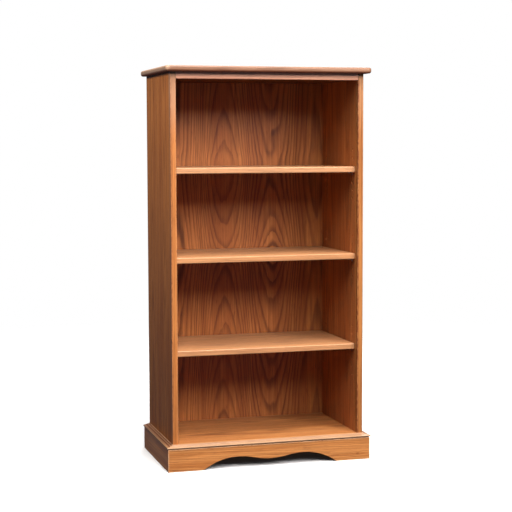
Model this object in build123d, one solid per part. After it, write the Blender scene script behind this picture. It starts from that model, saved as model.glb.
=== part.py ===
from build123d import *
import os

# Oak bookcase with three adjustable shelves, in millimetres.
# +Z is up, the front faces -Y, and the origin is on the floor under the middle of the whole object.

# Case
overall_height = 1219.0
case_width = 610.0
case_depth = 343.0
side_thickness = 18.0
panel_thickness = 18.0
edging_depth = 18.0
rail_height = 20.0
housing_depth = 6.0
housing_gap = 0.5
back_thickness = 6.0
rabbet_width = 9.0
back_gap = 0.5

# Top board
top_thickness = 18.0
top_side_overhang = 18.0
top_front_overhang = 27.0
top_nosing = 7.0
top_corner_round = 3.0

# Base: aprons with a cap moulding on them
apron_height = 69.0
apron_thickness = 18.0
apron_arris = 2.0
scallop_half_span = 213.0
scallop_crest_x = 106.0
scallop_crest_rise = 36.0
scallop_dip_rise = 24.0
cap_height = 12.0
cap_overhang = 3.0
quirk_height = 2.5
quirk_depth = 2.0
nose_thickness = 4.0
cap_groove_shares = (0.56, 0.19)
cap_groove_width = 2.6
cap_groove_depth = 1.6
cap_bead_rise = 0.8
rear_rail_thickness = 18.0
block_size = 35.0
block_floor_gap = 5.0

# Shelves, by the height of each one's upper face
upper_shelf_top = 915.5
middle_shelf_top = 645.0
lower_shelf_top = 361.5
shelf_thickness = 18.0
shelf_edging_depth = 20.0
shelf_setback = 22.0
shelf_end_gap = 1.5
shelf_back_gap = 3.0

# Shelf pins and the runs of holes that they go in
pin_pitch = 25.4
pin_steps = 3
pin_front_inset = 25.0
pin_rear_inset = 35.0
peg_diameter = 6.3
peg_length = 10.0
peg_play = 0.1
hole_end_gap = 1.0
flange_diameter = 9.0
flange_thickness = 1.2
flange_drop = 0.5
flange_play = 0.1
spoon_length = 13.0
spoon_width = 10.0
spoon_thickness = 2.5
spoon_round = 3.0

# Screws and nails
screw_diameter = 4.0
screw_play = 0.1
screw_bite = 12.0
fastener_tip_gap = 1.0
screw_head_diameter = 8.0
screw_head_height = 2.6
drive_width = 1.2
drive_span = 4.4
drive_depth = 1.4
top_screw_margin = 60.0
base_screw_margin = 60.0
nail_diameter = 1.6
nail_length = 18.0
nail_head_diameter = 4.5
nail_head_thickness = 0.8
nail_play = 0.1
nail_pitch = 150.0
nail_margin = 45.0

# Rounding
arris = 2.0
shelf_arris = 3.0
round_share = 0.45
cut_margin = 1.0

# Planes that the pieces share
half_width = case_width / 2
inner_half = half_width - side_thickness
case_back = (case_depth + top_front_overhang) / 2
case_front = case_back - case_depth
panel_front = case_front + edging_depth
back_face = case_back - back_thickness
case_top = overall_height - top_thickness
sub_top_under = case_top - panel_thickness
floor_top = apron_height + cap_height
floor_under = floor_top - panel_thickness
cap_reach = apron_thickness + cap_overhang
shelf_front = case_front + shelf_setback
shelf_back = back_face - shelf_back_gap
shelf_half = inner_half - shelf_end_gap
pin_columns = (shelf_front + pin_front_inset, shelf_back - pin_rear_inset)
pin_depth = flange_drop + flange_diameter / 2
shelf_tops = {"upper": upper_shelf_top, "middle": middle_shelf_top, "lower": lower_shelf_top}
LEFT = -1
RIGHT = 1


def block(x0, x1, y0, y1, z0, z1):
    """A board with square edges, between two opposite corners."""
    board = Box(x1 - x0, y1 - y0, z1 - z0, align=(Align.MIN, Align.MIN, Align.MIN))
    return Pos(x0, y0, z0) * board


def rod(start, direction, diameter, length):
    """A round rod that starts at a point and runs along a direction."""
    bar = Cylinder(diameter / 2, length, align=(Align.CENTER, Align.CENTER, Align.MIN))
    return Plane(origin=start, z_dir=direction) * bar


def rounding(radius, thickness):
    """A radius, limited by the thickness of the board that it is on."""
    return min(radius, round_share * thickness)


def on_side(right_piece, hand):
    """A piece made for the right side, mirrored when it is wanted on the left."""
    if hand == RIGHT:
        return right_piece
    return mirror(right_piece, about=Plane.YZ)


def spread(low, high, pitch):
    """Evenly spaced places from low to high, about one pitch apart."""
    gaps = max(1, round((high - low) / pitch))
    return [low + (high - low) * i / gaps for i in range(gaps + 1)]


# Fasteners: each is a list of (point, direction, length), the point being where its head seats


def top_screw_places():
    """Screws up through the sub-top into the top board."""
    length = panel_thickness + screw_bite
    xs = (-inner_half + top_screw_margin, 0, inner_half - top_screw_margin)
    ys = (panel_front + top_screw_margin, back_face - top_screw_margin)
    return [((x, y, sub_top_under), (0, 0, 1), length) for x in xs for y in ys]


def apron_screw_places(hand):
    """Screws out through one side into its apron."""
    length = side_thickness + screw_bite
    ys = (panel_front + base_screw_margin, case_back - base_screw_margin)
    return [((hand * inner_half, y, apron_height / 2), (hand, 0, 0), length) for y in ys]


def block_screw_places():
    """Screws forward through the corner blocks into the front apron."""
    length = block_size + screw_bite
    xs = (-inner_half + block_size / 2, inner_half - block_size / 2)
    return [((x, case_front + block_size, apron_height / 2), (0, -1, 0), length) for x in xs]


def nail_places():
    """Nails through the back panel into the sides, the sub-top and the bottom panel."""
    side_x = inner_half + rabbet_width / 2
    heights = spread(floor_top + nail_margin, sub_top_under - nail_margin, nail_pitch)
    places = [(x, z) for x in (-side_x, side_x) for z in heights]
    across = spread(-inner_half + nail_margin, inner_half - nail_margin, nail_pitch)
    rows = (sub_top_under + panel_thickness / 2, floor_under + panel_thickness / 2)
    places += [(x, z) for z in rows for x in across]
    return [((x, case_back, z), (0, -1, 0), nail_length) for x, z in places]


def countersink(play=0.0):
    """The cone of a screw's head, from the face that it is let into, with room around it."""
    wide = screw_head_diameter / 2 + play
    narrow = screw_diameter / 2 + play
    return Cone(wide, narrow, screw_head_height, align=(Align.CENTER, Align.CENTER, Align.MIN))


def screw_hole(place):
    point, direction, length = place
    shank = rod(point, direction, screw_diameter + 2 * screw_play, length + fastener_tip_gap)
    return shank + Plane(origin=point, z_dir=direction) * countersink(screw_play)


def nail_hole(place):
    point, direction, length = place
    shank = rod(point, direction, nail_diameter + 2 * nail_play, length + fastener_tip_gap)
    recess = rod(point, direction, nail_head_diameter + 2 * nail_play, nail_head_thickness)
    return shank + recess


def screw(place):
    """A countersunk wood screw with a crossed drive, its head flush with the face."""
    point, direction, length = place
    bar = Cylinder(screw_diameter / 2, length, align=(Align.CENTER, Align.CENTER, Align.MIN))
    body = countersink() + bar
    for span in ((drive_span, drive_width), (drive_width, drive_span)):
        body -= Box(*span, drive_depth, align=(Align.CENTER, Align.CENTER, Align.MIN))
    return Plane(origin=point, z_dir=direction) * body


def nail(place):
    """A flat-headed nail, its head let in flush with the back."""
    point, direction, length = place
    head = rod(point, direction, nail_head_diameter, nail_head_thickness)
    return head + rod(point, direction, nail_diameter, length)


# Case


def pin_level(shelf_top):
    """Height of the axis of the pins under a shelf."""
    return shelf_top - shelf_thickness - pin_depth


def pin_holes():
    """The runs of holes in the right side, one run in front and one behind for each shelf."""
    diameter = peg_diameter + 2 * peg_play
    depth = peg_length + hole_end_gap
    holes = []
    for shelf_top in shelf_tops.values():
        for step in range(-pin_steps, pin_steps + 1):
            z = pin_level(shelf_top) + step * pin_pitch
            holes += [rod((inner_half, y, z), (1, 0, 0), diameter, depth) for y in pin_columns]
    return holes


def side_panel(hand):
    """A side, with housings for the sub-top and the bottom, a rabbet for the back, and pin holes."""
    housing_x = inner_half + housing_depth
    panel = block(inner_half, half_width, panel_front, case_back, 0, case_top)
    panel -= block(inner_half, housing_x, panel_front, back_face, sub_top_under, case_top)
    panel -= block(inner_half, housing_x, panel_front, back_face, floor_under, floor_top)
    panel -= block(inner_half, inner_half + rabbet_width, back_face, case_back, floor_under, case_top)
    panel -= pin_holes()
    panel -= [screw_hole(place) for place in apron_screw_places(RIGHT)]
    panel -= [nail_hole(place) for place in nail_places() if place[0][0] > inner_half]
    return on_side(panel, hand)


def side_edging(hand):
    """The solid strip on the front of a side, down to the floor."""
    strip = block(inner_half, half_width, case_front, panel_front, 0, case_top)
    front_edges = strip.edges().filter_by(Axis.Z).group_by(Axis.Y)[0]
    return on_side(fillet(front_edges, rounding(arris, side_thickness)), hand)


def cross_panel(z0, z1):
    """A fixed panel from side to side, its ends let into the housings."""
    reach = inner_half + housing_depth - housing_gap
    panel = block(-reach, reach, panel_front, back_face, z0, z1)
    return panel - [nail_hole(place) for place in nail_places() if z0 < place[0][2] < z1]


def sub_top():
    return cross_panel(sub_top_under, case_top) - [screw_hole(place) for place in top_screw_places()]


def bottom_panel():
    return cross_panel(floor_under, floor_top)


def front_strip(z0, z1):
    """A solid strip between the side strips, level with their fronts."""
    return block(-inner_half, inner_half, case_front, panel_front, z0, z1)


def top_front_rail():
    rail = front_strip(case_top - rail_height, case_top)
    lower_edge = rail.edges().filter_by(Axis.X).group_by(Axis.Z)[0].sort_by(Axis.Y)[0]
    return fillet(lower_edge, rounding(arris, rail_height))


def back_panel():
    """Thin panel in the rabbets, from the bottom panel's underside to the top board."""
    reach = inner_half + rabbet_width - back_gap
    panel = block(-reach, reach, back_face, case_back, floor_under, case_top)
    return panel - [nail_hole(place) for place in nail_places()]


def top_board():
    """Overhanging top with a rounded nosing at the front and the sides."""
    reach = half_width + top_side_overhang
    board = block(-reach, reach, case_front - top_front_overhang, case_back, case_top, overall_height)
    nosing = rounding(top_nosing, top_thickness)
    board = fillet(board.edges().filter_by(Axis.Z).group_by(Axis.Y)[0], nosing + top_corner_round)
    levels = board.faces().filter_by(Axis.Z)
    rims = [edge for edge in levels.edges() if edge.center().Y < case_back - cut_margin]
    board = fillet(rims, nosing)
    return board - [screw_hole(place) for place in top_screw_places()]


# Base


def scallop():
    """The cut under the front apron: a dip in the middle between two crests, ending in square feet."""
    dip = (0, scallop_dip_rise)
    waist = (scallop_crest_x / 2, (scallop_dip_rise + scallop_crest_rise) / 2)
    crest = (scallop_crest_x, scallop_crest_rise)
    foot = (scallop_half_span, 0)
    outline = [
        TangentArc(dip, waist, tangent=(1, 0)),
        TangentArc(crest, waist, tangent=(-1, 0)),
        TangentArc(crest, foot, tangent=(1, 0)),
        Polyline(foot, (scallop_half_span, -cut_margin), (0, -cut_margin), dip),
    ]
    half = extrude(Plane.XZ.offset(-case_front) * make_face(outline), apron_thickness)
    return half + mirror(half, about=Plane.YZ)


def footprint(points, height):
    """A prism that stands on the floor over a plan outline."""
    return extrude(make_face(Polyline(*points, close=True)), height)


def front_plan(reach):
    """Plan of a front base piece, mitred where it meets the side pieces."""
    outer = half_width + reach
    front = case_front - reach
    return [(-half_width, case_front), (half_width, case_front), (outer, front), (-outer, front)]


def side_plan(reach):
    """Plan of a right-hand base piece, mitred at the front and square at the back."""
    outer = half_width + reach
    front = case_front - reach
    return [(half_width, case_front), (outer, front), (outer, case_back), (half_width, case_back)]


def front_apron():
    apron = footprint(front_plan(apron_thickness), apron_height) - scallop()
    front_edges = apron.edges().filter_by(Axis.X).group_by(Axis.Y)[0]
    apron = fillet(front_edges.sort_by(Axis.Z)[-1], rounding(apron_arris, apron_thickness))
    return apron - [screw_hole(place) for place in block_screw_places()]


def side_apron(hand):
    apron = footprint(side_plan(apron_thickness), apron_height)
    outer_edges = apron.edges().filter_by(Axis.Y).group_by(Axis.X)[-1]
    apron = fillet(outer_edges.sort_by(Axis.Z)[-1], rounding(apron_arris, apron_thickness))
    return on_side(apron - [screw_hole(place) for place in apron_screw_places(RIGHT)], hand)


def cap_section():
    """Section of the cap moulding: a sloping top with a bead and two grooves, a round nose and a quirk."""
    nose_under = apron_height + quirk_height
    nose_centre = cap_reach - nose_thickness / 2
    nose_low = (nose_centre, nose_under)
    nose_tip = (cap_reach, nose_under + nose_thickness / 2)
    nose_high = (nose_centre, nose_under + nose_thickness)
    quirk = apron_thickness - quirk_depth
    heel = [(0, floor_top), (0, apron_height), (quirk, apron_height), (quirk, nose_under)]
    slope = (floor_top - nose_high[1]) / nose_centre

    def on_top(reach, rise=0.0):
        return (reach, floor_top - slope * reach + rise)

    def groove(share):
        middle = share * cap_reach
        half = cap_groove_width / 2
        return [on_top(middle + half), on_top(middle, -cap_groove_depth), on_top(middle - half)]

    outer_groove, inner_groove = [groove(share) for share in cap_groove_shares]
    bead_top = on_top(sum(cap_groove_shares) / 2 * cap_reach, cap_bead_rise)
    outline = [
        ThreePointArc(nose_low, nose_tip, nose_high),
        Polyline(nose_high, *outer_groove),
        ThreePointArc(outer_groove[-1], bead_top, inner_groove[0]),
        Polyline(*inner_groove, *heel, nose_low),
    ]
    return make_face(outline)


def front_base_cap():
    end = half_width + cap_reach
    section = Plane(origin=(end, case_front, 0), x_dir=(0, -1, 0), z_dir=(-1, 0, 0)) * cap_section()
    return extrude(section, 2 * end) & footprint(front_plan(cap_reach), floor_top)


def side_base_cap(hand):
    section = Plane(origin=(half_width, case_back, 0), x_dir=(1, 0, 0), z_dir=(0, -1, 0)) * cap_section()
    cap = extrude(section, case_depth + cap_reach) & footprint(side_plan(cap_reach), floor_top)
    return on_side(cap, hand)


def rear_base_rail():
    return block(-inner_half, inner_half, case_back - rear_rail_thickness, case_back, 0, floor_under)


def base_corner_blocks():
    """Two blocks in the front corners of the base, under the bottom panel."""
    inner_x = inner_half - block_size
    corner = block(inner_x, inner_half, case_front, case_front + block_size, block_floor_gap, floor_under)
    pair = [on_side(corner, hand) for hand in (LEFT, RIGHT)]
    holes = [screw_hole(place) for place in block_screw_places()]
    return [piece - holes for piece in pair]


# Shelves


def shelf_panel(shelf_top):
    front = shelf_front + shelf_edging_depth
    return block(-shelf_half, shelf_half, front, shelf_back, shelf_top - shelf_thickness, shelf_top)


def shelf_edging(shelf_top):
    """The solid strip on the front of a shelf, rounded above and below."""
    back = shelf_front + shelf_edging_depth
    strip = block(-shelf_half, shelf_half, shelf_front, back, shelf_top - shelf_thickness, shelf_top)
    front_edges = strip.edges().filter_by(Axis.X).group_by(Axis.Y)[0]
    return fillet(front_edges, rounding(shelf_arris, shelf_thickness))


def shelf_pins(shelf_top):
    """Four pins: a peg in a hole of the side, a flange against it, and a flat spoon under the shelf."""
    seat = shelf_top - shelf_thickness
    face = inner_half - flange_play
    pins = []
    for y in pin_columns:
        axis_point = (face, y, pin_level(shelf_top))
        free_end = face - flange_thickness - spoon_length
        spoon = block(free_end, face, y - spoon_width / 2, y + spoon_width / 2, seat - spoon_thickness, seat)
        corners = spoon.edges().filter_by(Axis.Z).group_by(Axis.X)[0]
        pin = fillet(corners, rounding(spoon_round, spoon_width))
        pin += rod(axis_point, (-1, 0, 0), flange_diameter, flange_thickness)
        pin += rod(axis_point, (1, 0, 0), peg_diameter, peg_length)
        pins += [on_side(pin, hand) for hand in (LEFT, RIGHT)]
    return pins


nodes = {
    "top_board": top_board(),
    "sub_top": sub_top(),
    "top_front_rail": top_front_rail(),
    "left_side": side_panel(LEFT),
    "right_side": side_panel(RIGHT),
    "left_side_edging": side_edging(LEFT),
    "right_side_edging": side_edging(RIGHT),
    "bottom_panel": bottom_panel(),
    "bottom_edging": front_strip(floor_under, floor_top),
    "back_panel": back_panel(),
    "front_apron": front_apron(),
    "left_apron": side_apron(LEFT),
    "right_apron": side_apron(RIGHT),
    "front_base_cap": front_base_cap(),
    "left_base_cap": side_base_cap(LEFT),
    "right_base_cap": side_base_cap(RIGHT),
    "rear_base_rail": rear_base_rail(),
    "base_corner_blocks": base_corner_blocks(),
    "top_screws": [screw(place) for place in top_screw_places()],
    "base_screws": [
        screw(place)
        for place in apron_screw_places(LEFT) + apron_screw_places(RIGHT) + block_screw_places()
    ],
    "back_nails": [nail(place) for place in nail_places()],
}
for name, height in shelf_tops.items():
    nodes[f"{name}_shelf_panel"] = shelf_panel(height)
    nodes[f"{name}_shelf_edging"] = shelf_edging(height)
    nodes[f"{name}_shelf_pins"] = shelf_pins(height)

os.makedirs("parts", exist_ok=True)
for node, shape in nodes.items():
    pieces = shape if isinstance(shape, list) else [shape]
    solids = [solid for piece in pieces for solid in piece.solids()]
    export_step(Compound(children=solids), f"parts/{node}.step")
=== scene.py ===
import math
from collections import namedtuple

import bpy
from mathutils import Matrix, Vector


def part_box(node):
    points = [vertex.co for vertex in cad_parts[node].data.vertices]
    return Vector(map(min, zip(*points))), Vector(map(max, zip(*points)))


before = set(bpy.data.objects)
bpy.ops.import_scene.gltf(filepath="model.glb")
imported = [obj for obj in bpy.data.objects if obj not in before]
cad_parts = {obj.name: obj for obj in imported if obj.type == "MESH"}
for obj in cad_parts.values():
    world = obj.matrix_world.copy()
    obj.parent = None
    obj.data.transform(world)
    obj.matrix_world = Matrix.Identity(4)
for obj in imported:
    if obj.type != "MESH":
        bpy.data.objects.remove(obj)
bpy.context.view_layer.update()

# Looks of an oak bookcase: stained and lacquered oak boards, bare softwood inside the base, and plated
# steel. Every visible shape is a CAD node, so only finishes, floor, light and camera are made here.
# Lengths are in metres, in the frame of the imported model, with +Z up and the open front towards -Y.

# Wood colours, linear: the light and the middle tone of late wood, dark early wood, worn and bleached wood,
# which also gives painted highlights and light, and pores.
# Coat is the lacquer's share, and specular is how strongly the wood under it shines. The back's veneer is
# deeper in colour and glossier than the sides'.
Stain = namedtuple("Stain", "light middle early worn pore coat specular")
OAK = Stain(
    light=(0.540, 0.210, 0.058),
    middle=(0.420, 0.142, 0.034),
    early=(0.190, 0.052, 0.013),
    worn=(0.750, 0.480, 0.275),
    pore=(0.060, 0.016, 0.006),
    coat=0.08,
    specular=0.28,
)
VENEER = Stain(
    light=(0.495, 0.173, 0.047),
    middle=(0.380, 0.119, 0.032),
    early=(0.102, 0.026, 0.009),
    worn=(0.700, 0.400, 0.220),
    pore=(0.050, 0.014, 0.007),
    coat=0.0,
    specular=0.06,
)
BACK_VENEER = VENEER._replace(
    light=(0.500, 0.168, 0.041),
    middle=(0.376, 0.113, 0.027),
    early=(0.080, 0.018, 0.006),
    specular=0.32,
)
# The top board's grey-pink: partly sun-faded wood, partly a painted sheen of light from above
FADED_AND_SHEEN = Stain(
    light=(0.285, 0.142, 0.080),
    middle=(0.215, 0.098, 0.052),
    early=(0.120, 0.045, 0.021),
    worn=(0.430, 0.262, 0.166),
    pore=(0.060, 0.027, 0.016),
    coat=0.04,
    specular=0.22,
)
# The rail's paler, pinker colour is painted light, lifting it out of the top's shadow
RAIL_PAINTED_LIGHT = Stain(
    light=(0.760, 0.350, 0.205),
    middle=(0.660, 0.280, 0.155),
    early=(0.420, 0.150, 0.075),
    worn=(0.800, 0.480, 0.330),
    pore=(0.120, 0.040, 0.020),
    coat=0.08,
    specular=0.28,
)
PINE = Stain(
    light=(0.640, 0.430, 0.220),
    middle=(0.560, 0.340, 0.150),
    early=(0.400, 0.210, 0.080),
    worn=(0.700, 0.520, 0.300),
    pore=(0.300, 0.150, 0.060),
    coat=0.0,
    specular=0.30,
)
# Dark colour of painted shade under boards, in grooves and on the right stile's inner arris, and of the left
# stile's dark joint
SHADE_AND_JOINT_DARK = (0.150, 0.034, 0.010)
# The pale pink painted on the left stile's top: a painted sheen
STILE_TOP_SHEEN = (0.400, 0.200, 0.112)
ZINC_LIGHT = (0.640, 0.630, 0.600)
ZINC_DARK = (0.400, 0.390, 0.370)
FLOOR_LIGHT = (0.840, 0.830, 0.810)
FLOOR_DARK = (0.800, 0.790, 0.770)

# How a board is cut from the log. Grain is the axis that the grain follows, and face the axis across the
# thickness. Ring is the width of a ring. Pith is how far the log's heart is from the middle of the
# thickness, and aside how far it is from the middle of the width. Along the board the heart wanders by sweep
# in each length of run, or as BACK_SWEEP says, which makes the peaks in the figure. Leaf is the width of the
# veneer leaves or staves, counted from seam. Bold is how strongly the figure shows, and streaks how strongly
# the finer lines do.
Cut = namedtuple(
    "Cut",
    "grain face ring pith sweep bold run leaf seam aside streaks",
    defaults=(None, None, 0.0, 0.0, 1.0),
)
BACK_CUT = Cut("Z", "Y", ring=0.04, pith=0.016, sweep=0.26, bold=0.96, leaf=0.16, seam=0.027, streaks=0.80)
SIDE_CUT = Cut("Z", "X", ring=0.038, pith=0.016, sweep=0.14, bold=0.5, run=0.9, leaf=0.172, seam=0.022)
PANEL_CUT = Cut(
    "X", "Z", ring=0.032, pith=0.014, sweep=0.08, bold=1.0, run=0.6, leaf=0.15, seam=0.03, streaks=1.6
)
TOP_CUT = Cut("X", "Z", ring=0.019, pith=0.016, sweep=0.035, bold=0.6, run=0.7, leaf=0.093)
APRON_CUT = Cut("X", "Y", ring=0.0055, pith=0.06, sweep=0.03, bold=0.55, run=0.9, aside=0.06, streaks=1.4)
SIDE_APRON_CUT = Cut("Y", "X", ring=0.007, pith=0.06, sweep=0.014, bold=0.35, run=0.9, aside=0.06)
UPRIGHT_STRIP_CUT = Cut("Z", "Y", ring=0.005, pith=0.06, sweep=0.006, bold=0.6, run=1.3, aside=0.11)
CROSS_STRIP_CUT = Cut("X", "Y", ring=0.0045, pith=0.06, sweep=0.006, bold=0.7, run=1.3, aside=0.11)
SIDE_STRIP_CUT = Cut("Y", "X", ring=0.005, pith=0.06, sweep=0.006, bold=0.6, run=1.3, aside=0.11)
RAIL_CUT = Cut("X", "Y", ring=0.006, pith=0.06, sweep=0.015, bold=0.8, run=0.7)
BLOCK_CUT = Cut("Z", "Y", ring=0.005, pith=0.05, sweep=0.01, bold=0.8, run=0.5)

# A smooth step: while a value goes from low to high, the result goes from start to end
Step = namedtuple("Step", "low high start end", defaults=(0.0, 1.0))

# How the heart wanders up the front of the back, as (share of the height, share of the sweep). It wanders
# less towards the edges, by the distance from the seam. The rear face, beyond the middle of the thickness,
# has a plain slope instead.
BACK_SWEEP = (
    (0.0, 1.0), (0.25, 0.51), (0.46, 0.09), (0.495, 0.0), (0.515, 0.09), (0.56, 0.22),
    (0.64, 0.40), (0.72, 0.55), (0.745, 0.57), (0.80, 0.47), (1.0, 0.15),
)
BACK_EASING = Step(0.11, 0.23, 1.0, 0.3)
REAR_FACE = Step(-0.001, 0.001)

# Knots, by their places across and along the grain
Knot = namedtuple("Knot", "across along radius")
BACK_KNOT = Knot(0.114, 1.023, 0.008)
APRON_KNOT = Knot(0.0197, 0.2826, 0.0035)
KNOT_LENGTH = 2.0
KNOT_CORE = Step(0.30, 0.90, 0.0, 0.6)
SWIRL_FALL = 0.15
SWIRL_RINGS = 0.6

# Noise has so many waves a metre across and along the grain, and so many layers of detail. Where only a
# part of it is used, a step picks that part out.
Noise = namedtuple("Noise", "across along detail")
PLAIN_DETAIL = 2.0
HEART_SWAY = Noise(0.0, 1.6, PLAIN_DETAIL)
SLOW_BENDS = Noise(9.0, 1.4, PLAIN_DETAIL)
QUICK_BENDS = Noise(70.0, 5.0, PLAIN_DETAIL)
FIBRES = Noise(520.0, 9.0, 4.0)
DRIFT = Noise(6.0, 1.3, 3.0)
STREAKS = Noise(130.0, 2.5, 3.0)
BANDS = Noise(30.0, 0.8, 2.0)
PATCHES = (Noise(45.0, 7.0, PLAIN_DETAIL), Step(0.30, 0.60, 0.80, 1.0))
THREADS = (Noise(330.0, 2.2, 1.0), Step(0.54, 0.74))
TICKS = (Noise(280.0, 28.0, 2.0), Step(0.60, 0.74))
PORES = (Noise(1500.0, 45.0, 1.0), Step(0.56, 0.70))
RUBBING = (Noise(160.0, 35.0, 3.0), Step(0.30, 0.62, 0.35, 1.0))
CHIPS = (Noise(260.0, 150.0, 1.0), Step(0.62, 0.68))
ARRIS_CHIPS = (Noise(190.0, 95.0, 2.0), Step(0.38, 0.58, 0.25, 1.0))
ZINC_CLOUDS = (Noise(180.0, 180.0, 3.0), Step(0.35, 0.65))
ZINC_SCRATCHES = Noise(2500.0, 200.0, 2.0)
FLOOR_MOTTLE = Noise(9.0, 9.0, 4.0)

# Seeds move each board and each leaf to another place in the noise
SEED_ACROSS = 3.1
SEED_ALONG = 1.7
SEED_RING = 21.7
SEED_LEAF = 0.37

# Rings: how they bend and crowd, in widths of a ring, and how their early wood comes and goes
TIGHTENING = 268.0
HEART_SWAY_WIDTH = 0.03
SLOW_BEND_RINGS = 1.5
QUICK_BEND_RINGS = 0.45
CROWDING_RINGS = 1.6
CROWDING_WAVES = 0.4
SEASON_WAVES = 0.30
SEASON_LAYER = 5.0
SEASON_STRENGTH = Step(0.36, 0.60, 0.75, 1.0)
EARLY_FADE = Step(0.04, 0.48, 1.0, 0.0)
EARLY_ONSET = Step(0.84, 1.0)
FAINTEST_RING = 0.60

# Strengths of what colours the wood
EARLY_STRENGTH = 0.90
THREAD_STRENGTH = 0.38
TICK_STRENGTH = 0.60
PORE_STRENGTH = 0.45
PORES_IN_LATE_WOOD = 0.3
LEAF_TONE = 0.35
STREAK_TONE = 1.1
BAND_TONE = 1.1
TONE = Step(0.25, 0.75)
FIBRE_GLOW = Step(0.3, 0.7, 0.80, 1.14)

# Roughness and relief of the lacquered surface
LACQUER_ROUGHNESS = 0.30
FIBRE_ROUGHNESS = 0.16
PORE_ROUGHNESS = 0.18
COAT_ROUGHNESS = 0.18
EARLY_SINK = 0.35
PORE_SINK = 0.8
GRAIN_RELIEF = 0.00025

# Marks of use, and painted light and shade
# Width of the pale arrises, which are partly wear and partly painted highlight
WEAR_AND_HIGHLIGHT_WIDTH = 0.0045
CHIP_STRENGTH = 0.8
# Heights over which an upright's top is paled by a painted sheen
TOP_SHEEN_HEIGHTS = (0.98, 1.14)
FOOT_HEIGHTS = (0.12, 0.50)
# How far the painted light on the left-hand end of the top reaches
LEFT_END_LIGHT_REACH = (0.004, 0.016)
# How far the painted shade under a board reaches
UNDER_SHADE_REACH = (0.002, 0.008)
# The dark line along a stile's left-hand front arris: painted shade on the right stile, a dark joint on the
# left
ARRIS_LINE_WIDTH = Step(0.0028, 0.0048, 1.0, 0.0)
ARRIS_DEPTH = Step(0.008, 0.016, 1.0, 0.0)
# Where the cap moulding's grooves lie from its nose, and how the painted shade in them falls off
CAP_GROOVES = (0.0092, 0.0170)
GROOVE_SHADE = Step(0.0010, 0.0024, 1.0, 0.0)

# Plated steel
ZINC_ROUGHNESS = 0.22
ZINC_SCRATCH_ROUGHNESS = 0.25
ZINC_RELIEF = 0.00004

# What sets the two sides apart: the panel's bleaching, the stile's shade and bleaching, the painted sheen on
# its top, its dark foot and dark arris line, and the apron's painted light. Outward is the side's direction
# along X.
Hand = namedtuple(
    "Hand",
    "name seed outward panel_bleach stile_shade stile_bleach fade fade_colour foot soil apron_shade",
)
HANDS = (
    Hand("left", 11, -1, -0.03, 1.10, 0.0, 0.75, STILE_TOP_SHEEN, 0.0, 0.35, 1.50),
    Hand("right", 21, 1, 0.03, 0.84, -0.03, 0.14, OAK.worn, 0.28, 0.85, 1.0),
)

# The shelves, with how much painted shade darkens the underside of each, and how much the strip on its front
# is bleached
Shelf = namedtuple("Shelf", "name seed underside strip_bleach")
SHELVES = (Shelf("upper", 31, 0.90, 0.30), Shelf("middle", 41, 0.50, 0.20), Shelf("lower", 51, 0.10, 0.22))

STEEL_NODES = (
    "top_screws",
    "base_screws",
    "back_nails",
    "upper_shelf_pins",
    "middle_shelf_pins",
    "lower_shelf_pins",
)

# The floor is a disc that is solid near the object and fades out towards its rim
FLOOR_RADIUS = 4.0
FLOOR_SIDES = 96
FLOOR_FADE = Step(1.2, 3.4)
FLOOR_ROUGHNESS = 0.7

# The surround, as the camera sees it and as it lights the object
SURROUND_SEEN = (1.0, 1.0, 1.0, 1.0)
SURROUND_LIGHT = (0.32, 0.54, 1.0, 1.0)
SURROUND_STRENGTH = 0.130

# Soft boxes: place, the point that each one looks at, width and height, power in watts, and colour
SoftBox = namedtuple("SoftBox", "name place target size watts colour")
SOFT_BOXES = (
    SoftBox("overhead", (0.35, -1.60, 5.80), (0.0, 0.0, 0.6), (2.0, 3.0), 510.0, (1.0, 1.0, 1.0)),
    SoftBox("right", (2.25, -4.05, 3.20), (0.0, 0.0, 3.2), (1.6, 2.1), 192.0, (1.0, 0.97, 0.96)),
    SoftBox("left", (-0.95, -3.60, 4.50), (0.0, 0.0, 0.6), (1.1, 2.2), 194.0, (1.0, 0.97, 0.96)),
    SoftBox("middle", (0.2, -4.75, 3.25), (0.2, 0.0, 3.25), (1.6, 1.8), 118.0, (1.0, 0.97, 0.96)),
    SoftBox("left_side", (-1.20, -0.30, 1.72), (-0.3, 0.0, 1.05), (0.4, 0.4), 10.8, (1.0, 1.0, 0.90)),
    SoftBox("floor_bounce", (0.0, -1.30, 0.02), (0.0, -1.30, 1.0), (2.2, 1.6), 1.2, (1.0, 0.95, 0.90)),
    SoftBox("rear", (1.4, 3.2, 2.8), (0.0, 0.0, 0.6), (2.0, 2.0), 110.0, (1.0, 0.98, 0.95)),
)

# Camera of the photograph: angles in radians, lens and sensor in millimetres
CAMERA_PLACE = (-1.1960, -4.1566, 0.9960)
CAMERA_YAW = -0.28112
CAMERA_PITCH = -0.08366
CAMERA_ROLL = 0.00277
CAMERA_LENS = 96.54
SENSOR = 36.0


class Value:
    """A number that a material's nodes work out at each point of the surface."""

    def __init__(self, tree, socket):
        self.tree = tree
        self.socket = socket

    def __add__(self, other):
        return self.tree.math("ADD", self, other)

    def __radd__(self, other):
        return self.tree.math("ADD", other, self)

    def __sub__(self, other):
        return self.tree.math("SUBTRACT", self, other)

    def __rsub__(self, other):
        return self.tree.math("SUBTRACT", other, self)

    def __mul__(self, other):
        return self.tree.math("MULTIPLY", self, other)

    def __rmul__(self, other):
        return self.tree.math("MULTIPLY", other, self)

    def __truediv__(self, other):
        return self.tree.math("DIVIDE", self, other)

    def __pow__(self, exponent):
        return self.tree.math("POWER", self, exponent)

    def __abs__(self):
        return self.tree.math("ABSOLUTE", self)


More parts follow.
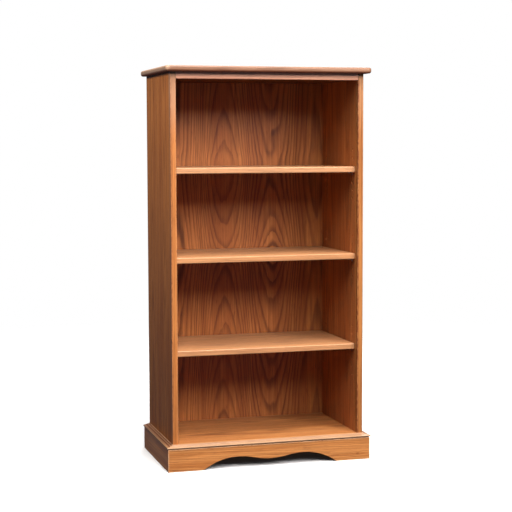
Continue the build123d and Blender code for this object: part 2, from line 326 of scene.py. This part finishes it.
class Tree:
    """Short calls that build one material's node tree."""

    def __init__(self, name):
        self.material = bpy.data.materials.new(name)
        self.material.use_nodes = True
        self.nodes = self.material.node_tree.nodes
        self.links = self.material.node_tree.links
        self.nodes.clear()

    def add(self, kind, inputs, **settings):
        """A node whose inputs, by name or number, are constants, values or other nodes' outputs."""
        node = self.nodes.new("ShaderNode" + kind)
        for key, setting in settings.items():
            setattr(node, key, setting)
        for key, given in inputs.items():
            source = given.socket if isinstance(given, Value) else given
            if isinstance(source, bpy.types.NodeSocket):
                self.links.new(source, node.inputs[key])
            else:
                node.inputs[key].default_value = source
        return node

    def math(self, operation, *values):
        node = self.add("Math", dict(enumerate(values)), operation=operation)
        return Value(self, node.outputs[0])

    def position(self):
        """Where a point of the surface is, in the model's frame."""
        return self.add("TexCoord", {}).outputs["Object"]

    def step(self, value, step):
        """A value taken through a smooth step."""
        inputs = {
            "Value": value,
            "From Min": step.low,
            "From Max": step.high,
            "To Min": step.start,
            "To Max": step.end,
        }
        node = self.add("MapRange", inputs, interpolation_type="SMOOTHSTEP")
        return Value(self, node.outputs[0])

    def at_least(self, value, least):
        """A value from 0 to 1, squeezed to go from least to 1."""
        return value * (1.0 - least) + least

    def point(self, x, y, z):
        return self.add("CombineXYZ", {0: x, 1: y, 2: z}).outputs[0]

    def noise(self, vector, detail=PLAIN_DETAIL):
        """Smooth noise from 0 to 1."""
        node = self.add("TexNoise", {"Vector": vector, "Scale": 1.0, "Detail": detail})
        return Value(self, node.outputs["Fac"])

    def pattern(self, vector, noise, step=None):
        """Noise that is long in the grain's direction, which is the vector's third one."""
        waves = (noise.across, noise.across, noise.along)
        scaled = self.add("VectorMath", {0: vector, 1: waves}, operation="MULTIPLY").outputs[0]
        value = self.noise(scaled, noise.detail)
        return self.step(value, step) if step else value

    def swing(self, vector, noise):
        """Such noise, from -0.5 to 0.5."""
        return self.pattern(vector, noise) - 0.5

    def chance(self, number):
        """One random value from 0 to 1 for each number."""
        node = self.add("TexWhiteNoise", {"W": number}, noise_dimensions="1D")
        return Value(self, node.outputs["Value"])

    def curve(self, share, points):
        """A smooth curve through points, over a value from 0 to 1."""
        node = self.add("FloatCurve", {"Value": share})
        line = node.mapping.curves[0]
        for place, height in points[1:-1]:
            line.points.new(place, height)
        line.points[0].location = points[0]
        line.points[-1].location = points[-1]
        node.mapping.update()
        return Value(self, node.outputs[0])

    def mix(self, share, first, second, blend="MIX"):
        """A colour between two colours."""
        colours = [c if isinstance(c, bpy.types.NodeSocket) else (*c, 1.0) for c in (first, second)]
        inputs = {0: share, 6: colours[0], 7: colours[1]}
        return self.add("Mix", inputs, data_type="RGBA", blend_type=blend).outputs[2]

    def shade(self, height, relief, **inputs):
        """The material, with its shader's inputs and a bump from the height."""
        bump = self.add("Bump", {"Height": height, "Strength": 1.0, "Distance": relief})
        named = {key.replace("_", " "): given for key, given in inputs.items()}
        shader = self.add("BsdfPrincipled", {**named, "Normal": bump.outputs[0]})
        self.add("OutputMaterial", {"Surface": shader.outputs[0]})
        return self.material


class Board(Tree):
    """The wood of one CAD node: rings about a wandering heart, early wood with pores, fibres, and lacquer.

    Marks of use, and painted light and shade, are added one after another, and apply() then puts the wood on
    its node.
    """

    def __init__(self, node, cut, stain=OAK, bleach=0.0, shade=1.0, knot=None, seed=0):
        super().__init__(node + "_wood")
        self.node = node
        self.cut = cut
        self.stain = stain
        self.seed = seed
        self.offset = SEED_ACROSS * seed
        self.low, self.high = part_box(node)
        self.middle = (self.low + self.high) / 2

        self.grain = "XYZ".index(cut.grain)
        self.face = "XYZ".index(cut.face)
        (self.width,) = {0, 1, 2} - {self.grain, self.face}
        axes = self.add("SeparateXYZ", {0: self.position()}).outputs
        self.place = [Value(self, axis) for axis in axes]
        self.along = self.place[self.grain]
        self.across = self.place[self.width]
        self.depth = self.place[self.face] - self.middle[self.face]
        self.inward = self.depth + cut.pith
        self.board_place = self.point(self.across + self.offset, self.depth, self.along + SEED_ALONG * seed)

        radius, leaf = self.log_place()
        leaf_seed = self.math("MULTIPLY_ADD", leaf, SEED_LEAF, self.offset)
        self.fibre_place = self.point(self.across + leaf_seed, self.depth, self.along + leaf_seed)
        radius = radius + self.wander() * cut.sweep
        if knot:
            spread = self.knot_spread(knot)
            radius = radius + self.math("EXPONENT", spread * -SWIRL_FALL) * (SWIRL_RINGS * cut.ring)
        radius = radius + self.swing(self.board_place, SLOW_BENDS) * (SLOW_BEND_RINGS * cut.ring)
        radius = radius + self.swing(self.board_place, QUICK_BENDS) * (QUICK_BEND_RINGS * cut.ring)

        self.early = self.early_wood(radius)
        self.fibre = self.pattern(self.fibre_place, FIBRES)
        pores = self.pattern(self.fibre_place, *PORES)
        self.pores = pores * self.at_least(self.early, PORES_IN_LATE_WOOD)
        self.light, self.mid, self.dark = [
            [shade * (c + bleach * (w - c)) for c, w in zip(tone, stain.worn)]
            for tone in (stain.light, stain.middle, stain.early)
        ]
        self.colour = self.bare_colour(leaf_seed)
        if knot:
            core = self.step(self.math("EXPONENT", spread * -1.0), KNOT_CORE)
            self.stain_with(core, stain.early)
        self.roughness = self.fibre * FIBRE_ROUGHNESS + LACQUER_ROUGHNESS + self.pores * PORE_ROUGHNESS

    def log_place(self):
        """How far out in the log each point is, and the number of its leaf.

        Leaves that lie side by side show the log from opposite sides of its heart.
        """
        cut = self.cut
        if not cut.leaf:
            off_heart = self.across - (self.middle[self.width] - cut.aside)
            return self.math("SQRT", off_heart ** 2 + self.inward ** 2), self.seed
        from_seam = self.across - cut.seam
        leaf = self.math("FLOOR", from_seam / cut.leaf)
        swayed = from_seam + self.swing(self.board_place, HEART_SWAY) * HEART_SWAY_WIDTH
        swayed_leaf = self.math("FLOOR", swayed / cut.leaf)
        off_heart = swayed - (swayed_leaf + 0.5) * cut.leaf
        side = 1.0 - 2.0 * self.math("FLOORED_MODULO", swayed_leaf, 2.0)
        return side * (self.grown(off_heart) - self.grown(cut.leaf / 2)), leaf

    def grown(self, off_heart):
        """The log's growth out to a point beside its heart. Rings are wide at first and then tighten."""
        squares = off_heart ** 2 + self.inward ** 2
        return self.math("SQRT", squares) * (squares * TIGHTENING + 1.0)

    def wander(self):
        """How far the log's heart has wandered at each point along the board, as a share of the sweep."""
        if self.cut.run:
            return (self.along - self.middle[self.grain]) / self.cut.run
        low = self.low[self.grain]
        share = (self.along - low) / (self.high[self.grain] - low)
        off_seam = abs(self.across - self.cut.seam)
        front = self.curve(share, BACK_SWEEP) * self.step(off_seam, BACK_EASING)
        return front + self.step(self.depth, REAR_FACE) * (share - front)

    def knot_spread(self, knot):
        """The square of the distance from a knot's centre, in its own lengths and widths."""
        beside = (self.across - knot.across) / knot.radius
        beyond = (self.along - knot.along) / (KNOT_LENGTH * knot.radius)
        return beside ** 2 + beyond ** 2

    def early_wood(self, radius):
        """How much dark early wood each point has. It fades into light late wood, ring by ring."""
        rings = radius / self.cut.ring
        crowding = self.noise(self.point(rings * CROWDING_WAVES, self.offset, 0.0)) - 0.5
        rings = rings + crowding * CROWDING_RINGS
        season = self.noise(self.point(rings * SEASON_WAVES, self.offset, SEASON_LAYER))
        ring_chance = self.chance(self.math("FLOOR", rings) + SEED_RING * self.seed)
        through = self.math("FRACT", rings)
        early = self.math("MAXIMUM", self.step(through, EARLY_FADE), self.step(through, EARLY_ONSET))
        early = early * self.at_least(ring_chance, FAINTEST_RING)
        early = early * self.step(season, SEASON_STRENGTH)
        return early * self.pattern(self.fibre_place, *PATCHES)

    def bare_colour(self, leaf_seed):
        """The colour before any marks: stain that drifts, dark figure and lines, fibres and pores."""
        streaks = self.cut.streaks
        tone = self.pattern(self.fibre_place, DRIFT) + (self.chance(leaf_seed) - 0.5) * LEAF_TONE
        tone = tone + self.swing(self.fibre_place, STREAKS) * (STREAK_TONE * streaks)
        tone = tone + self.swing(self.fibre_place, BANDS) * (BAND_TONE * streaks)
        colour = self.mix(self.step(tone, TONE), self.light, self.mid)
        threads = self.pattern(self.fibre_place, *THREADS) * (THREAD_STRENGTH * streaks)
        ticks = self.pattern(self.fibre_place, *TICKS) * (TICK_STRENGTH * streaks)
        lines = self.math("MAXIMUM", threads, ticks)
        figure = self.math("MAXIMUM", self.early * EARLY_STRENGTH, lines)
        colour = self.mix(figure * self.cut.bold, colour, self.dark)
        glow = self.step(self.fibre, FIBRE_GLOW)
        colour = self.mix(1.0, colour, self.point(glow, glow, glow), "MULTIPLY")
        return self.mix(self.pores * PORE_STRENGTH, colour, self.stain.pore)

    def stain_with(self, share, colour):
        self.colour = self.mix(share, self.colour, colour)

    def arrises(self, front_only):
        """A mask that is 1 on the arrises of the board's box and fades over WEAR_AND_HIGHLIGHT_WIDTH."""
        a, b, c = [
            (self.high[axis] - self.low[axis]) / 2 - abs(self.place[axis] - self.middle[axis])
            for axis in range(3)
        ]
        nearer = self.math("MINIMUM", a, b)
        further = self.math("MAXIMUM", a, b)
        to_arris = self.math("MAXIMUM", nearer, self.math("MINIMUM", further, c))
        mask = self.step(to_arris, Step(0.0, WEAR_AND_HIGHLIGHT_WIDTH, 1.0, 0.0))
        if front_only:
            behind = self.place[1] - self.low[1]
            mask = mask * self.step(behind, Step(WEAR_AND_HIGHLIGHT_WIDTH, 2 * WEAR_AND_HIGHLIGHT_WIDTH, 1.0, 0.0))
        return mask

    def wear_and_highlight(self, strength, front_only=True):
        """Rubs the arrises pale and chips them. The pale rubbing is partly wear and partly a painted
        highlight on the rounded arrises.
        """
        arrises = self.arrises(front_only)
        rubbing = self.pattern(self.fibre_place, *RUBBING)
        self.stain_with(arrises * rubbing * strength, self.stain.worn)
        chips = self.pattern(self.fibre_place, *CHIPS)
        self.stain_with(arrises * chips * CHIP_STRENGTH, self.dark)
        return self

    def paint_top_sheen(self, strength, colour):
        """Pales the top of an upright: a painted sheen."""
        self.stain_with(self.step(self.place[2], Step(*TOP_SHEEN_HEIGHTS, 0.0, strength)), colour)
        return self

    def darken_foot(self, strength):
        """Darkens the foot of an upright."""
        self.stain_with(self.step(self.place[2], Step(*FOOT_HEIGHTS, strength, 0.0)), self.stain.early)
        return self

    def paint_light_left_end(self, strength):
        """Paints light on the left-hand end of a board that lies across the case, in its worn colour."""
        near, far = [self.low[0] + reach for reach in LEFT_END_LIGHT_REACH]
        self.stain_with(self.step(self.place[0], Step(near, far, strength, 0.0)), self.stain.worn)
        return self

    def paint_shade_under(self, strength):
        """Paints shade on the underside, and leaves it dull."""
        near, far = [self.low[2] + reach for reach in UNDER_SHADE_REACH]
        under = self.step(self.place[2], Step(near, far, strength, 0.0))
        self.stain_with(under, SHADE_AND_JOINT_DARK)
        self.roughness = self.math("MAXIMUM", self.roughness, under)
        return self

    def shade_grooves(self, axis, outward, strength):
        """Paints shade in the grooves of a cap moulding, whose nose looks outward along an axis."""
        nose = self.high[axis] if outward > 0 else self.low[axis]
        from_nose = abs(self.place[axis] - nose)
        grooves = [self.step(abs(from_nose - centre), GROOVE_SHADE) for centre in CAP_GROOVES]
        self.stain_with(self.math("MAXIMUM", *grooves) * strength, SHADE_AND_JOINT_DARK)
        return self

    def darken_left_arris(self, strength):
        """Darkens the left-hand front arris of an upright, with chips: painted shade on the right stile, a
        dark joint on the left.
        """
        soil = self.step(self.place[0] - self.low[0], ARRIS_LINE_WIDTH)
        soil = soil * self.step(self.place[1] - self.low[1], ARRIS_DEPTH)
        self.stain_with(soil * self.pattern(self.fibre_place, *ARRIS_CHIPS) * strength, SHADE_AND_JOINT_DARK)
        return self

    def apply(self):
        """Puts the wood on its node."""
        height = self.fibre - self.early * EARLY_SINK - self.pores * PORE_SINK
        wood = self.shade(
            height,
            GRAIN_RELIEF,
            Base_Color=self.colour,
            Roughness=self.roughness,
            Specular_IOR_Level=self.stain.specular,
            Coat_Weight=self.stain.coat,
            Coat_Roughness=COAT_ROUGHNESS,
        )
        dress(self.node, wood)


def dress(node, material):
    """Puts a material on every slot of a CAD node."""
    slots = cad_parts[node].data.materials
    slots.clear()
    slots.append(material)


def dress_top():
    # The top's left-hand end is lightened with painted light
    top = Board("top_board", TOP_CUT, FADED_AND_SHEEN, seed=1)
    # The top's underside is darkened with painted shade
    top.wear_and_highlight(0.42, front_only=False).paint_light_left_end(0.72).paint_shade_under(0.80).apply()
    # The sub-top is darkened to a third: painted shade over the top bay
    Board("sub_top", PANEL_CUT, VENEER, shade=0.32, seed=2).apply()
    Board("top_front_rail", CROSS_STRIP_CUT, RAIL_PAINTED_LIGHT, seed=3).wear_and_highlight(0.20).apply()


def dress_bottom_and_back():
    Board("bottom_panel", PANEL_CUT, bleach=0.04, shade=0.96, seed=4).apply()
    Board("bottom_edging", CROSS_STRIP_CUT, shade=0.88, seed=5).wear_and_highlight(0.30).apply()
    Board("back_panel", BACK_CUT, BACK_VENEER, knot=BACK_KNOT, seed=6).apply()


def dress_base():
    Board("front_apron", APRON_CUT, shade=1.05, knot=APRON_KNOT, seed=7).wear_and_highlight(0.60).apply()
    front_cap = Board("front_base_cap", CROSS_STRIP_CUT, bleach=0.54, shade=0.66, seed=8)
    front_cap.wear_and_highlight(0.20).shade_grooves(axis=1, outward=-1, strength=0.35).apply()
    Board("rear_base_rail", RAIL_CUT, PINE, seed=9).apply()
    Board("base_corner_blocks", BLOCK_CUT, PINE, seed=10).apply()


def dress_side(hand):
    """One side panel, the stile on its front edge, and the apron and cap moulding below it."""
    panel_name = hand.name + "_side"
    Board(panel_name, SIDE_CUT, VENEER, bleach=hand.panel_bleach, shade=1.08, seed=hand.seed).apply()
    stile = Board(
        hand.name + "_side_edging",
        UPRIGHT_STRIP_CUT,
        bleach=hand.stile_bleach,
        shade=hand.stile_shade,
        seed=hand.seed + 1,
    )
    # The stile's paler top is a painted sheen
    stile.wear_and_highlight(0.12).paint_top_sheen(hand.fade, hand.fade_colour).darken_foot(hand.foot)
    # Dark left-hand arris: painted shade on the right stile, a dark joint on the left
    stile.darken_left_arris(hand.soil).apply()
    # The apron's tone carries painted light: the left apron is lifted out of its shade
    apron = Board(hand.name + "_apron", SIDE_APRON_CUT, shade=hand.apron_shade, seed=hand.seed + 2)
    apron.wear_and_highlight(0.40, front_only=False).apply()
    cap = Board(hand.name + "_base_cap", SIDE_STRIP_CUT, bleach=0.28, shade=0.52, seed=hand.seed + 3)
    # Painted shade in the cap's grooves
    cap.wear_and_highlight(0.45, front_only=False).shade_grooves(axis=0, outward=hand.outward, strength=0.90).apply()


def dress_shelf(shelf):
    """One shelf panel and the strip on its front edge."""
    panel = Board(shelf.name + "_shelf_panel", PANEL_CUT, bleach=0.24, seed=shelf.seed)
    # Painted shade under each shelf
    panel.paint_shade_under(shelf.underside).apply()
    strip_name = shelf.name + "_shelf_edging"
    strip = Board(strip_name, CROSS_STRIP_CUT, bleach=shelf.strip_bleach, seed=shelf.seed + 1)
    strip.wear_and_highlight(0.18).apply()


def dress_fittings():
    """Zinc-plated steel with cloudy patches and fine scratches, on the screws, nails and pins."""
    tree = Tree("zinc_plate")
    position = tree.position()
    scratches = tree.pattern(position, ZINC_SCRATCHES)
    steel = tree.shade(
        scratches,
        ZINC_RELIEF,
        Base_Color=tree.mix(tree.pattern(position, *ZINC_CLOUDS), ZINC_LIGHT, ZINC_DARK),
        Roughness=scratches * ZINC_SCRATCH_ROUGHNESS + ZINC_ROUGHNESS,
        Metallic=1.0,
    )
    for node in STEEL_NODES:
        dress(node, steel)


def make_floor():
    """A pale floor that fades into the white surround."""
    angles = [2 * math.pi * i / FLOOR_SIDES for i in range(FLOOR_SIDES)]
    rim = [(FLOOR_RADIUS * math.cos(a), FLOOR_RADIUS * math.sin(a), 0.0) for a in angles]
    mesh = bpy.data.meshes.new("floor")
    mesh.from_pydata(rim, [], [list(range(FLOOR_SIDES))])
    floor = bpy.data.objects.new("floor", mesh)
    bpy.context.scene.collection.objects.link(floor)

    tree = Tree("floor_paint")
    position = tree.position()
    colour = tree.mix(tree.pattern(position, FLOOR_MOTTLE), FLOOR_DARK, FLOOR_LIGHT)
    paint = tree.add("BsdfPrincipled", {"Base Color": colour, "Roughness": FLOOR_ROUGHNESS})
    clear = tree.add("BsdfTransparent", {})
    distance = tree.add("VectorMath", {0: position}, operation="LENGTH").outputs["Value"]
    faded = tree.step(distance, FLOOR_FADE)
    blend = tree.add("MixShader", {0: faded, 1: paint.outputs[0], 2: clear.outputs[0]})
    tree.add("OutputMaterial", {"Surface": blend.outputs[0]})
    mesh.materials.append(tree.material)
    floor.visible_diffuse = False
    floor.visible_glossy = False


def make_world():
    """A white surround for the camera, and a dim blue one for the light that it gives."""
    world = bpy.data.worlds.new("studio")
    bpy.context.scene.world = world
    world.use_nodes = True
    nodes = world.node_tree.nodes
    links = world.node_tree.links
    nodes.clear()
    seen = nodes.new("ShaderNodeBackground")
    seen.inputs["Color"].default_value = SURROUND_SEEN
    seen.inputs["Strength"].default_value = 1.0
    given = nodes.new("ShaderNodeBackground")
    given.inputs["Color"].default_value = SURROUND_LIGHT
    given.inputs["Strength"].default_value = SURROUND_STRENGTH
    path = nodes.new("ShaderNodeLightPath")
    blend = nodes.new("ShaderNodeMixShader")
    output = nodes.new("ShaderNodeOutputWorld")
    links.new(path.outputs["Is Camera Ray"], blend.inputs[0])
    links.new(given.outputs[0], blend.inputs[1])
    links.new(seen.outputs[0], blend.inputs[2])
    links.new(blend.outputs[0], output.inputs[0])


def make_light(box):
    """A soft box that looks at its target."""
    lamp = bpy.data.lights.new(box.name, "AREA")
    lamp.shape = "RECTANGLE"
    lamp.size, lamp.size_y = box.size
    lamp.energy = box.watts
    lamp.color = box.colour
    light = bpy.data.objects.new(box.name, lamp)
    bpy.context.scene.collection.objects.link(light)
    light.visible_camera = False
    aim = Vector(box.target) - Vector(box.place)
    turn = aim.to_track_quat("-Z", "Y").to_matrix().to_4x4()
    light.matrix_world = Matrix.Translation(box.place) @ turn


def make_camera():
    lens = bpy.data.cameras.new("photo_camera")
    lens.lens = CAMERA_LENS
    lens.sensor_width = SENSOR
    camera = bpy.data.objects.new("photo_camera", lens)
    bpy.context.scene.collection.objects.link(camera)
    turn = Matrix.Rotation(CAMERA_YAW, 4, "Z") @ Matrix.Rotation(CAMERA_PITCH, 4, "X")
    turn = turn @ Matrix.Rotation(CAMERA_ROLL, 4, "Y") @ Matrix.Rotation(math.pi / 2, 4, "X")
    camera.matrix_world = Matrix.Translation(CAMERA_PLACE) @ turn
    bpy.context.scene.camera = camera


dress_top()
dress_bottom_and_back()
dress_base()
for hand in HANDS:
    dress_side(hand)
for shelf in SHELVES:
    dress_shelf(shelf)
dress_fittings()
make_floor()
make_world()
for soft_box in SOFT_BOXES:
    make_light(soft_box)
make_camera()
bpy.context.scene.view_settings.view_transform = "Standard"
